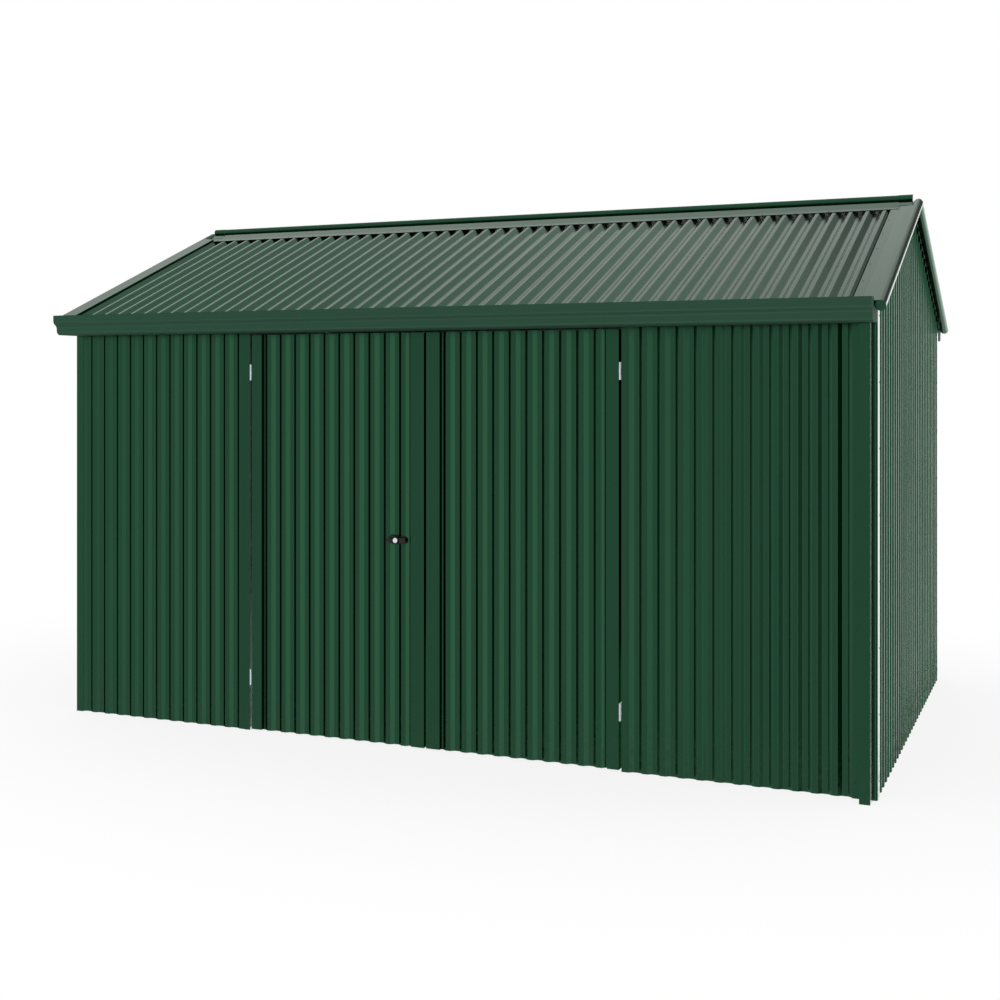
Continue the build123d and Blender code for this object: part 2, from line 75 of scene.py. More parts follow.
class Run(Enum):
    """Way that rain runs over a painted sheet, as stretch factors for its streaks."""

    DOWN_WALL = (9.0, 9.0, 0.45)
    DOWN_ROOF = (9.0, 0.45, 0.9)


class Wire:
    """A node socket on which sums can be written as Python expressions."""

    def __init__(self, bench: "Bench", socket: bpy.types.NodeSocket) -> None:
        """Keep the socket and the bench that owns its tree."""
        self.bench = bench
        self.socket = socket

    def _sum(self, operation: str, first: Any, second: Any) -> "Wire":
        """Add a Math node.

        Args:
            operation: Blender's name of the operation.
            first: Wire or number on the left.
            second: Wire or number on the right.

        Returns:
            The result of the node.
        """
        settings = {"operation": operation}
        return self.bench.node("ShaderNodeMath", settings, {0: first, 1: second})

    def __add__(self, other: Any) -> "Wire":
        """Sum of two values."""
        return self._sum("ADD", self, other)

    def __radd__(self, other: Any) -> "Wire":
        """Sum with a number on the left."""
        return self._sum("ADD", other, self)

    def __sub__(self, other: Any) -> "Wire":
        """Difference of two values."""
        return self._sum("SUBTRACT", self, other)

    def __rsub__(self, other: Any) -> "Wire":
        """Difference from a number on the left."""
        return self._sum("SUBTRACT", other, self)

    def __mul__(self, other: Any) -> "Wire":
        """Product of two values."""
        return self._sum("MULTIPLY", self, other)

    def __rmul__(self, other: Any) -> "Wire":
        """Product with a number on the left."""
        return self._sum("MULTIPLY", other, self)

    def __pow__(self, other: Any) -> "Wire":
        """Power of a value."""
        return self._sum("POWER", self, other)

    def top(self, other: Any) -> "Wire":
        """Larger of two values."""
        return self._sum("MAXIMUM", self, other)

    def fade(self, low: float, high: float) -> "Wire":
        """Smooth rise of the value.

        Args:
            low: Value at which the result is 0.
            high: Value at which the result is 1.

        Returns:
            A value from 0 to 1.
        """
        settings = {"interpolation_type": "SMOOTHSTEP"}
        sockets = {"Value": self, "From Min": low, "From Max": high}
        return self.bench.node("ShaderNodeMapRange", settings, sockets)


class Bench:
    """Adds nodes to one shader tree."""

    def __init__(self, tree: bpy.types.NodeTree) -> None:
        """Take over an empty tree."""
        self.tree = tree
        tree.nodes.clear()

    def node(
        self,
        kind: str,
        settings: Mapping[str, Any] | None = None,
        sockets: Mapping[int | str, Any] | None = None,
        out: int | str = 0,
    ) -> Wire:
        """Add one node.

        Args:
            kind: Blender's type of the node.
            settings: Properties, which are set first.
            sockets: Values or wires for the inputs.
            out: Output that the wire leaves by.

        Returns:
            The chosen output.
        """
        made = self.tree.nodes.new(kind)
        for name, value in (settings or {}).items():
            setattr(made, name, value)
        for name, value in (sockets or {}).items():
            if isinstance(value, Wire):
                self.tree.links.new(value.socket, made.inputs[name])
            else:
                made.inputs[name].default_value = value
        return Wire(self, made.outputs[out]) if len(made.outputs) else Wire(self, made.inputs[0])

    def place(self, stretch: Sequence[float] = (1.0, 1.0, 1.0)) -> Wire:
        """Object coordinates, stretched.

        Args:
            stretch: Factors along the three axes.

        Returns:
            The coordinate vector.
        """
        spot = self.node("ShaderNodeTexCoord", out="Object")
        return self.node("ShaderNodeMapping", sockets={"Vector": spot, "Scale": tuple(stretch)})

    def noise(
        self, scale: float, stretch: Sequence[float] = (1.0, 1.0, 1.0), detail: float = 3.0,
    ) -> Wire:
        """Fractal noise on Object coordinates.

        Args:
            scale: Features in a metre.
            stretch: Factors along the three axes.
            detail: Octaves.

        Returns:
            A value around 0.5.
        """
        sockets = {"Vector": self.place(stretch), "Scale": scale, "Detail": detail}
        return self.node("ShaderNodeTexNoise", sockets=sockets)

    def height(self) -> Wire:
        """Height above the ground."""
        parts = {"Vector": self.node("ShaderNodeTexCoord", out="Object")}
        return self.node("ShaderNodeSeparateXYZ", sockets=parts, out="Z")

    def blend(self, share: Any, first: Any, second: Any) -> Wire:
        """Mix of two colours.

        Args:
            share: Part of the second colour.
            first: Colour at 0.
            second: Colour at 1.

        Returns:
            The mixed colour.
        """
        colours = [(*c, 1.0) if isinstance(c, tuple) else c for c in (first, second)]
        sockets = {0: share, 6: colours[0], 7: colours[1]}
        return self.node("ShaderNodeMix", {"data_type": "RGBA"}, sockets, out=2)

    def bump(self, height: Wire, depth: float, strength: float, under: Wire | None = None) -> Wire:
        """Bump from a height.

        Args:
            height: Value from 0 to 1.
            depth: Height of 1 in metres.
            strength: Share of the effect.
            under: Normal from a coarser bump.

        Returns:
            The bumped normal.
        """
        sockets: dict[int | str, Any] = {"Height": height, "Distance": depth, "Strength": strength}
        if under is not None:
            sockets["Normal"] = under
        return self.node("ShaderNodeBump", sockets=sockets)

    def surface(self, shader: Wire) -> None:
        """Send a shader to the output of the material or the world.

        Args:
            shader: Last shader of the tree.
        """
        kind = "ShaderNodeOutputMaterial"
        if any(n.bl_idname == "ShaderNodeBackground" for n in self.tree.nodes):
            kind = "ShaderNodeOutputWorld"
        self.node(kind, sockets={"Surface": shader})


class Finish:
    """A surface finish that can make its own Blender material."""

    name: str

    def dress(self, bench: Bench) -> Mapping[int | str, Any]:
        """Sockets of the main shader; each finish gives its own."""
        raise NotImplementedError

    def material(self) -> bpy.types.Material:
        """Material of the finish, made once.

        Returns:
            The material.
        """
        found = bpy.data.materials.get(self.name)
        if found:
            return found
        made = bpy.data.materials.new(self.name)
        made.use_nodes = True
        bench = Bench(made.node_tree)
        bench.surface(bench.node("ShaderNodeBsdfPrincipled", sockets=self.dress(bench)))
        return made


@dataclass(frozen=True)
class BakedPaint(Finish):
    """Glossy baked paint on rolled sheet, with faint rain streaks and dust at its foot.

    Args:
        name: Name of the material.
        colour: Main colour.
        pale: Colour of the streaks.
        dust: Colour of the dust.
        run: Way that rain runs over the sheet.
        roughness: Roughness of clean paint.
        metallic: 1 for a paint full of metal flakes, 0 for a plain one.
        edge: Brightness of reflections at a flat angle; below 1 they are dull.
    """

    name: str = "baked_green_wall"
    colour: RGB = (0.0195, 0.0690, 0.0370)
    pale: RGB = (0.0225, 0.0760, 0.0415)
    dust: RGB = (0.055, 0.075, 0.058)
    run: Run = Run.DOWN_WALL
    roughness: float = 0.21
    metallic: float = 1.0
    edge: float = 0.32

    def dress(self, bench: Bench) -> Mapping[int | str, Any]:
        """Sockets of the paint.

        Args:
            bench: Bench of the material.

        Returns:
            Values and wires for the main shader.
        """
        run = self.run.value
        streaks = bench.noise(scale=2.2, stretch=run, detail=4.0).fade(low=0.35, high=0.75)
        cloud = bench.noise(scale=1.1, detail=2.0)
        low_down = 1.0 - bench.height().fade(low=0.0, high=0.35)
        foot = low_down * bench.noise(scale=38.0).fade(low=0.3, high=0.75)
        tone = bench.blend(streaks * 0.35 + cloud * 0.3, self.colour, self.pale)
        waves, grain = bench.noise(scale=2.4, detail=1.0), bench.noise(scale=520.0, detail=1.0)
        buckle = bench.bump(waves, depth=0.004, strength=0.10)
        peel = bench.bump(grain, depth=0.0002, strength=0.12, under=buckle)
        return {
            "Base Color": bench.blend(foot * 0.16, tone, self.dust),
            "Roughness": streaks * 0.05 + foot * 0.14 + self.roughness,
            "Metallic": self.metallic,
            "Specular Tint": (self.edge, self.edge, self.edge, 1.0),
            "Normal": peel,
        }


@dataclass(frozen=True)
class WashCoat(Finish):
    """Thin pale coat on the back of the painted sheet.

    Args:
        name: Name of the material.
        colour: Colour of the full coat.
        thin: Colour where the roller left less of it.
    """

    name: str = "wash_coat"
    colour: RGB = (0.36, 0.37, 0.35)
    thin: RGB = (0.29, 0.305, 0.29)

    def dress(self, bench: Bench) -> Mapping[int | str, Any]:
        """Sockets of the coat.

        Args:
            bench: Bench of the material.

        Returns:
            Values and wires for the main shader.
        """
        rolled = bench.noise(scale=14.0, stretch=(1.0, 1.0, 0.06), detail=4.0)
        grain = bench.noise(scale=700.0, detail=1.0)
        return {
            "Base Color": bench.blend(rolled.fade(low=0.3, high=0.7), self.colour, self.thin),
            "Roughness": rolled * 0.15 + 0.42,
            "Normal": bench.bump(grain, depth=0.0001, strength=0.2),
        }


@dataclass(frozen=True)
class Galvanised(Finish):
    """Dull galvanised sheet with its frost of zinc crystals.

    Args:
        name: Name of the material.
        light: Colour of the palest crystals.
        dark: Colour of the darkest crystals.
    """

    name: str = "galvanised"
    light: RGB = (0.50, 0.52, 0.53)
    dark: RGB = (0.34, 0.36, 0.37)

    def dress(self, bench: Bench) -> Mapping[int | str, Any]:
        """Sockets of the zinc.

        Args:
            bench: Bench of the material.

        Returns:
            Values and wires for the main shader.
        """
        cells = {"Vector": bench.place(), "Scale": 85.0}
        crystal = bench.node("ShaderNodeTexVoronoi", {"feature": "F1"}, cells, out="Color")
        grey = bench.node("ShaderNodeRGBToBW", sockets={"Color": crystal})
        film = bench.noise(scale=6.0).fade(low=0.35, high=0.75)
        return {
            "Base Color": bench.blend(grey * 0.8 + film * 0.2, self.dark, self.light),
            "Roughness": grey * 0.14 + film * 0.10 + 0.34,
            "Metallic": 0.85,
            "Normal": bench.bump(grey, depth=0.0001, strength=0.25),
        }


@dataclass(frozen=True)
class ZincPlate(Finish):
    """Bright plated steel of the hinges, drawn along its length.

    Args:
        name: Name of the material.
        colour: Colour of fresh plating.
        worn: Colour of dull spots.
    """

    name: str = "zinc_plate"
    colour: RGB = (0.70, 0.72, 0.78)
    worn: RGB = (0.52, 0.54, 0.60)

    def dress(self, bench: Bench) -> Mapping[int | str, Any]:
        """Sockets of the plating.

        Args:
            bench: Bench of the material.

        Returns:
            Values and wires for the main shader.
        """
        drawn = bench.noise(scale=900.0, stretch=(1.0, 1.0, 0.02), detail=2.0)
        spots = bench.noise(scale=160.0).fade(low=0.45, high=0.8)
        return {
            "Base Color": bench.blend(spots * 0.6 + drawn * 0.2, self.colour, self.worn),
            "Roughness": drawn * 0.12 + spots * 0.12 + 0.26,
            "Metallic": 0.9,
            "Normal": bench.bump(drawn, depth=0.00005, strength=0.3),
        }


@dataclass(frozen=True)
class LockBlack(Finish):
    """Moulded black handle with a fine grain.

    Args:
        name: Name of the material.
        colour: Colour of the moulding.
        rubbed: Colour where hands have rubbed it.
        shine: Strength of its reflections.
    """

    name: str = "moulded_black"
    colour: RGB = (0.0045, 0.0043, 0.0045)
    rubbed: RGB = (0.0110, 0.0105, 0.0105)
    shine: float = 0.32

    def dress(self, bench: Bench) -> Mapping[int | str, Any]:
        """Sockets of the moulding.

        Args:
            bench: Bench of the material.

        Returns:
            Values and wires for the main shader.
        """
        grain = bench.noise(scale=1500.0, detail=2.0)
        touch = bench.noise(scale=45.0).fade(low=0.45, high=0.75)
        return {
            "Base Color": bench.blend(touch, self.colour, self.rubbed),
            "Roughness": touch * 0.12 + grain * 0.08 + 0.26,
            "Specular IOR Level": self.shine,
            "Normal": bench.bump(grain, depth=0.00006, strength=0.35),
        }


@dataclass(frozen=True)
class BarrelMetal(Finish):
    """Polished key barrel with turning marks round its middle.

    Args:
        name: Name of the material.
        colour: Colour of the polished metal.
        mark: Colour of the marks.
        middle: Place of the barrel's middle along X and Z.
        marks: Turn of the marks' wave in a metre, in radians.
    """

    name: str = "turned_barrel"
    colour: RGB = (0.92, 0.93, 0.97)
    mark: RGB = (0.80, 0.81, 0.85)
    middle: tuple[float, float] = (0.0, 0.0)
    marks: float = 9000.0

    def dress(self, bench: Bench) -> Mapping[int | str, Any]:
        """Sockets of the barrel.

        Args:
            bench: Bench of the material.

        Returns:
            Values and wires for the main shader.
        """
        spot = bench.node("ShaderNodeTexCoord", out="Object")
        across = bench.node("ShaderNodeSeparateXYZ", sockets={0: spot}, out="X") - self.middle[0]
        up = bench.node("ShaderNodeSeparateXYZ", sockets={0: spot}, out="Z") - self.middle[1]
        radius = (across * across + up * up) ** 0.5
        wave = bench.node("ShaderNodeMath", {"operation": "SINE"}, {0: radius * self.marks})
        rings = wave * 0.5 + 0.5
        return {
            "Base Color": bench.blend(rings, self.colour, self.mark),
            "Roughness": rings * 0.08 + 0.16,
            "Metallic": 1.0,
            "Normal": bench.bump(rings, depth=0.00003, strength=0.2),
        }


WALL_PAINT = BakedPaint()
TRIM_PAINT = BakedPaint(name="baked_green_trim", edge=1.0)
# Lighter copy of the wall green for the gutters: the added lightness is a painted reflection haze,
# not a paler paint.
GUTTER_PAINT_WITH_SHEEN = BakedPaint(
    name="baked_green_gutter_painted_sheen", colour=(0.0315, 0.0830, 0.0520), pale=(0.0345, 0.0890, 0.0560),
    edge=0.05,
)
# Matt, non-metal copy of the gutter paint for the gutters' faces that look down or along the shed:
# painted light, so that they show lit green where the metallic paint would mirror dark.
UNDER_LIT_COPY = BakedPaint(
    name="baked_green_under_lit_copy", colour=GUTTER_PAINT_WITH_SHEEN.colour, pale=GUTTER_PAINT_WITH_SHEEN.pale,
    roughness=0.85, metallic=0.0,
)
ROOF_PAINT = BakedPaint(name="baked_green_roof", run=Run.DOWN_ROOF, edge=1.0)
WASH_COAT = WashCoat()
GALVANISED = Galvanised()
ZINC_PLATE = ZincPlate()
LOCK_BLACK = LockBlack()
# Darker, duller black for the handle round the key barrel: painted shade of the gap round the
# barrel.
SHADE_RING_BLACK = LockBlack(
    name="shade_ring_black", colour=(0.0020, 0.0020, 0.0021), rubbed=(0.0035, 0.0035, 0.0036),
    shine=0.16,
)


def face_width(face: bmesh.types.BMFace) -> float:
    """Rough width of a face.

    Args:
        face: Face of a strip.

    Returns:
        Its area over its longest edge, in metres.
    """
    return face.calc_area() / max(edge.calc_length() for edge in face.edges)


@dataclass
class Bends:
    """How the bends of folded sheet are rounded.

    Args:
        slack: Setback of the round from a bend between wide flats.
        fold: Setback of the round from a square outer fold.
        steps: Segments of each round.
        least: Width under which a face is the edge of a sheet, with no bend beside it.
        open_turns: Least and most turn of an open bend, in degrees.
        square_turns: Least and most turn of a square fold.
    """

    slack: float = 0.0022
    fold: float = 0.0015
    steps: int = 3
    least: float = 0.003
    open_turns: tuple[float, float] = (8.0, 65.0)
    square_turns: tuple[float, float] = (80.0, 100.0)

    def rounded(self, mesh: bmesh.types.BMesh) -> None:
        """Round the open bends and the square outer folds of a sheet.

        Args:
            mesh: Merged copy of a CAD node.
        """
        slopes, folds = [], []
        for edge in mesh.edges:
            if not edge.is_manifold:
                continue
            turn = math.degrees(edge.calc_face_angle())
            if min(face_width(face) for face in edge.link_faces) < self.least:
                continue
            if self.open_turns[0] < turn < self.open_turns[1]:
                slopes.append(edge)
            elif self.square_turns[0] < turn < self.square_turns[1] and edge.is_convex:
                folds.append(edge)
        self._round(mesh, slopes, self.slack)
        self._round(mesh, [edge for edge in folds if edge.is_valid], self.fold)

    def _round(
        self, mesh: bmesh.types.BMesh, edges: list[bmesh.types.BMEdge], setback: float,
    ) -> None:
        """Bevel some edges.

        Args:
            mesh: Mesh that owns the edges.
            edges: Edges to round.
            setback: Distance from each edge, in metres.
        """
        if edges and setback > 0.0:
            bmesh.ops.bevel(
                mesh, geom=edges, offset=setback, offset_type="OFFSET", segments=self.steps,
                profile=0.5, affect="EDGES", material=-1, clamp_overlap=True,
            )


@dataclass
class SubAssembly:
    """A group of pieces that ride on one body.

    Args:
        body: CAD body that carries the group.

    Attributes:
        whole: Turn under which neighbouring triangles of a node are one face.
        flat_weight: Weight of large faces in the shading, 50 being even.
    """

    body: str
    whole: ClassVar[float] = math.radians(0.3)
    flat_weight: ClassVar[int] = 80

    def build(self) -> None:
        """Make the group's pieces; each kind of group makes its own."""
        raise NotImplementedError

    def copied(self, node: str) -> bmesh.types.BMesh:
        """Merged copy of a CAD node with flat faces whole.

        Args:
            node: Name of the node.

        Returns:
            The copy.
        """
        mesh = bmesh.new()
        mesh.from_mesh(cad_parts[node].data)
        bmesh.ops.remove_doubles(mesh, verts=mesh.verts, dist=MERGE)
        bmesh.ops.dissolve_limit(
            mesh, angle_limit=self.whole, verts=mesh.verts, edges=mesh.edges,
        )
        return mesh

    def placed(
        self,
        mesh: bmesh.types.BMesh,
        name: str,
        finishes: Sequence[Finish],
        slot: Slot,
        nodes: Iterable[str] = (),
        sharp: float = 40.0,
    ) -> bpy.types.Object:
        """Make an object of a finished mesh and hand it to its body.

        Args:
            mesh: Mesh in the shed's frame; it is freed.
            name: Name of the piece.
            finishes: Finishes in the order of the faces' material numbers.
            slot: Material slot of the record; not used.
            nodes: CAD nodes that the piece stands for.
            sharp: Turn above which an edge stays sharp, in degrees.

        Returns:
            The new object.
        """
        for face in mesh.faces:
            face.smooth = True
        for edge in mesh.edges:
            turned = edge.is_manifold and edge.calc_face_angle() > math.radians(sharp)
            edge.smooth = edge.is_manifold and not turned
        data = bpy.data.meshes.new(name)
        mesh.to_mesh(data)
        mesh.free()
        for finish in finishes:
            data.materials.append(finish.material())
        made = bpy.data.objects.new(name, data)
        bpy.context.scene.collection.objects.link(made)
        weighted = made.modifiers.new("even_flats", "WEIGHTED_NORMAL")
        weighted.keep_sharp = True
        weighted.weight = self.flat_weight
        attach(made, self.body)
        if nodes:
            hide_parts(*nodes)
        LOG.info("%s: %d faces on %s", name, len(data.polygons), self.body)
        return made


@dataclass
class Cladding(SubAssembly):
    """Ribbed sheets with rounded bends and a pale back.

    Args:
        sheets: Node of each sheet, with the way out of the shed.
        paint: Finish of the outer side.
        bends: How the bends are rounded.
        narrow: Distance by which each bend moves into its flat.
        deepen: Distance by which the valleys are drawn deeper.
        back: Cosine to the way into the shed above which a face is on the pale back.
        sharp: Turn above which an edge stays sharp, in degrees.
    """

    sheets: Mapping[str, Way] = field(default_factory=dict)
    paint: BakedPaint = WALL_PAINT
    bends: Bends = field(default_factory=lambda: Bends(slack=0.0018))
    narrow: float = 0.0
    deepen: float = 0.0
    back: float = 0.25
    sharp: float = 30.0

    def build(self) -> None:
        """Make all the sheets."""
        finishes = (self.paint, WASH_COAT)
        for node, out in self.sheets.items():
            inward = -Vector(out)
            mesh = self.copied(node)
            if self.narrow or self.deepen:
                self._draw(mesh, inward)
            self.bends.rounded(mesh)
            mesh.normal_update()
            for face in mesh.faces:
                face.material_index = int(face.normal.dot(inward) > self.back)
            self.placed(mesh, f"{node}_rolled", finishes, Slot.GREEN, [node], self.sharp)

    def _draw(self, mesh: bmesh.types.BMesh, inward: Vector) -> None:
        """Draw a sheet's ribs to narrower flats and deeper valleys.

        Args:
            mesh: Copy of the sheet.
            inward: Way into the shed.
        """
        mesh.normal_update()
        flats = [face for face in mesh.faces if abs(face.normal.dot(inward)) > SQUARE_ON]
        levels = [face.calc_center_median().dot(inward) for face in flats]
        half = (min(levels) + max(levels)) / 2
        edge = max(abs(vert.co.x) for vert in mesh.verts) - self.narrow
        for face, level in zip(flats, levels):
            middle = face.calc_center_median().x
            for vert in face.verts:
                if abs(vert.co.x) < edge:
                    vert.co.x += math.copysign(self.narrow, middle - vert.co.x)
                if level > half:
                    vert.co += inward * self.deepen
        mesh.normal_update()


@dataclass
class Folded(SubAssembly):
    """Folded pieces of one finish: flashings, gutters, pipes, channels and tubes.

    Args:
        nodes: Names of the nodes.
        finish: Their finish.
        slot: Material slot of the record.
        bends: How their bends are rounded.
        under: Finish of the faces that look down or along the shed, where it is another one.
        facing: Cosine above which a face looks that way.
    """

    nodes: Sequence[str] = ()
    finish: Finish = WALL_PAINT
    slot: Slot = Slot.GREEN
    bends: Bends = field(default_factory=Bends)
    under: Finish | None = None
    facing: float = 0.7

    def build(self) -> None:
        """Make all the pieces."""
        for node in self.nodes:
            mesh = self.copied(node)
            self.bends.rounded(mesh)
            finishes = [self.finish]
            if self.under is not None:
                finishes.append(self.under)
                mesh.normal_update()
                for face in mesh.faces:
                    away = max(-face.normal.z, abs(face.normal.x))
                    face.material_index = int(away > self.facing)
            self.placed(mesh, f"{node}_folded", finishes, self.slot, [node])


@dataclass
class BargeCaps(SubAssembly):
    """Roll-edged caps of the gable edges, each with a flat top that is level with its roll.

    Args:
        caps: Node of each cap, with the way out of its slope.
        narrow: Caps whose wing ends under the top; the others cover a plain margin of the sheet.
        paint: Their finish.
        reach: Distance from the middle of the roll to the inner fold of the top.
        sheet: Thickness of the top.
        proud: Height of the top over the roll.
        fall: Fall of the top from the roll to the fold.
        gap: Distance from the ridge cap.
    """

    caps: Mapping[str, Way] = field(default_factory=dict)
    narrow: Sequence[str] = ()
    paint: BakedPaint = ROOF_PAINT
    reach: float = 0.074
    sheet: float = 0.001
    proud: float = 0.0004
    fall: float = 0.0055
    gap: float = 0.001

    def build(self) -> None:
        """Make the caps, and their tops as one piece."""
        tops = bmesh.new()
        for node, slope in self.caps.items():
            cap = self.copied(node)
            fold = self._top(tops, cap, Vector(slope))
            Bends().rounded(cap)
            if node in self.narrow:
                way = math.copysign(1.0, fold)
                bmesh.ops.bisect_plane(
                    cap, geom=[*cap.verts, *cap.edges, *cap.faces], clear_inner=True,
                    plane_co=(fold + way * self.sheet / 2, 0.0, 0.0), plane_no=(way, 0.0, 0.0),
                )
                bmesh.ops.holes_fill(cap, edges=[edge for edge in cap.edges if edge.is_boundary])
            self.placed(cap, f"{node}_folded", (self.paint,), Slot.GREEN, [node])
        bmesh.ops.recalc_face_normals(tops, faces=tops.faces)
        Bends(slack=0.0).rounded(tops)
        self.placed(tops, "barge_tops", (self.paint,), Slot.GREEN)

    def _top(self, tops: bmesh.types.BMesh, cap: bmesh.types.BMesh, out: Vector) -> float:
        """Fold one flat top from the roof up to the roll.

        Args:
            tops: Mesh that gets the top.
            cap: Copy of the cap.
            out: Way out of its slope.

        Returns:
            Place of the inner fold along X.
        """
        cap.normal_update()
        flats = [face for face in cap.faces if face.normal.dot(out) > SQUARE_ON]
        wing = max(flats, key=lambda flat: flat.calc_area())
        foot = wing.calc_center_median().dot(out)
        crown = max(vert.co.dot(out) for vert in cap.verts)
        rolled = [vert.co.x for vert in cap.verts if vert.co.dot(out) > crown - self.proud]
        middle = sum(rolled) / len(rolled)
        way = math.copysign(1.0, middle)
        fold = middle - way * self.reach
        level = crown + self.proud
        down = Vector((0.0, math.copysign(out.z, out.y), -abs(out.y)))
        ridge = math.copysign(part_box("ridge_cap")[1].y + self.gap, out.y)
        first = (ridge - level * out.y) / down.y
        last = max(vert.co.dot(down) for vert in wing.verts)
        bend, inner = level - self.fall, fold + way * self.sheet
        section = (
            (fold, foot), (fold, bend), (middle, level), (middle, level - self.sheet),
            (inner, bend - self.sheet), (inner, foot),
        )
        spots = [Vector((x, 0.0, 0.0)) + out * rise + down * first for x, rise in section]
        end = tops.faces.new([tops.verts.new(spot) for spot in spots])
        grown = bmesh.ops.extrude_face_region(tops, geom=[end], use_keep_orig=True)["geom"]
        far = [item for item in grown if isinstance(item, bmesh.types.BMVert)]
        bmesh.ops.translate(tops, verts=far, vec=down * (last - first))
        return fold


@dataclass
class RidgeCaps(SubAssembly):
    """Roll-top caps of the ridge, each as its wings and its roll.

    The camera sees the wings at so flat an angle that they would mirror little but the roll, so
    the roll is left out of reflections.

    Args:
        nodes: Names of the caps.
        paint: Their finish.
        roll_height: Height of the roll over its neck.
    """

    nodes: Sequence[str] = ()
    paint: BakedPaint = ROOF_PAINT
    roll_height: float = 0.0345

    def build(self) -> None:
        """Make the wings and the roll of each cap."""
        for node in self.nodes:
            wings = self._cut(node, -1.0)
            self.placed(wings, f"{node}_wings", (self.paint,), Slot.GREEN, [node])
            roll = self.placed(self._cut(node, 1.0), f"{node}_roll", (self.paint,), Slot.GREEN)
            roll.visible_glossy = False

    def _cut(self, node: str, way: float) -> bmesh.types.BMesh:
        """Copy of a cap, cut at the neck of its roll.

        Args:
            node: Name of the cap.
            way: 1 to keep what lies above the neck, -1 to keep what lies below.

        Returns:
            The closed half.
        """
        mesh = self.copied(node)
        Bends().rounded(mesh)
        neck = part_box(node)[1].z - self.roll_height
        bmesh.ops.bisect_plane(
            mesh, geom=[*mesh.verts, *mesh.edges, *mesh.faces], plane_co=(0.0, 0.0, neck),
            plane_no=(0.0, 0.0, way), clear_inner=True,
        )
        bmesh.ops.holes_fill(mesh, edges=[edge for edge in mesh.edges if edge.is_boundary])
        return mesh


@dataclass(frozen=True)
class Seam:
    """Row of rivets along one edge of a flat flange.

    Args:
        node: CAD node that has the flange.
        out: Way that the flange faces.
        toward: Way from the flange's middle to the edge.
    """

    node: str
    out: Way
    toward: Way


@dataclass
class Rivets(SubAssembly):
    """Small painted rivets that hold the flashings.

    Args:
        name: Name of the piece.
        seams: Rows of rivets.
        paint: Finish of the heads.
        step: Distance between rivets.
        inset: Distance from the edge.
        end: Least distance from the ends of the edge.
        radius: Radius of a head.
        rise: Height of a head.
        sunk: Depth of a head's foot in the flange.
        sides: Sides of a head.
        long: Share of the longest edge that an edge of the flange has at least.
    """

    name: str = ""
    seams: Sequence[Seam] = ()
    paint: BakedPaint = WALL_PAINT
    step: float = 0.30
    inset: float = 0.012
    end: float = 0.07
    radius: float = 0.0036
    rise: float = 0.0017
    sunk: float = 0.0002
    sides: int = 10
    long: float = 0.7

    def build(self) -> None:
        """Make all the rows as one piece."""
        head = self._head()
        mesh = bmesh.new()
        for seam in self.seams:
            for spot, out in self._spots(seam):
                old = len(mesh.verts)
                mesh.from_mesh(head)
                mesh.verts.ensure_lookup_table()
                upright = out.to_track_quat("Z", "Y").to_matrix().to_4x4()
                lay = Matrix.Translation(spot - out * self.sunk) @ upright
                bmesh.ops.transform(mesh, matrix=lay, verts=mesh.verts[old:])
        bpy.data.meshes.remove(head)
        self.placed(mesh, self.name, (self.paint,), Slot.GREEN)

    def _head(self) -> bpy.types.Mesh:
        """Turn one domed head.

        Returns:
            Its mesh, upright at the origin.
        """
        mesh = bmesh.new()
        shares = ((1.0, 0.0), (0.88, 0.55), (0.48, 0.92), (0.0, 1.0))
        rim = [mesh.verts.new((self.radius * x, 0.0, self.rise * z)) for x, z in shares]
        line = [mesh.edges.new(pair) for pair in zip(rim, rim[1:])]
        bmesh.ops.spin(
            mesh, geom=[*rim, *line], cent=(0, 0, 0), axis=(0, 0, 1),
            angle=math.tau, steps=self.sides, use_merge=True,
        )
        bmesh.ops.remove_doubles(mesh, verts=mesh.verts, dist=MERGE)
        bmesh.ops.holes_fill(mesh, edges=[edge for edge in mesh.edges if edge.is_boundary])
        bmesh.ops.recalc_face_normals(mesh, faces=mesh.faces)
        data = bpy.data.meshes.new("rivet_head")
        mesh.to_mesh(data)
        mesh.free()
        return data

    def _spots(self, seam: Seam) -> list[tuple[Vector, Vector]]:
        """Places of the rivets of one row.

        Args:
            seam: The row.

        Returns:
            Each rivet's foot and the way it points.
        """
        mesh = self.copied(seam.node)
        mesh.normal_update()
        out = Vector(seam.out)
        flats = [face for face in mesh.faces if face.normal.dot(out) > SQUARE_ON]
        face = max(flats, key=lambda flat: flat.calc_area())
        longest = max(edge.calc_length() for edge in face.edges)
        sides = [edge for edge in face.edges if edge.calc_length() > self.long * longest]
        toward = Vector(seam.toward)
        edge = max(sides, key=lambda side: sum(v.co.dot(toward) for v in side.verts))
        first, last = (vert.co.copy() for vert in edge.verts)
        along = (last - first).normalized()
        inward = face.calc_center_median() - first
        inward = (inward - along * inward.dot(along)).normalized()
        mesh.free()
        run = (last - first).length - 2 * self.end
        count = max(1, round(run / self.step))
        start = first + inward * self.inset + along * self.end
        return [(start + along * (run * place / count), out) for place in range(count + 1)]


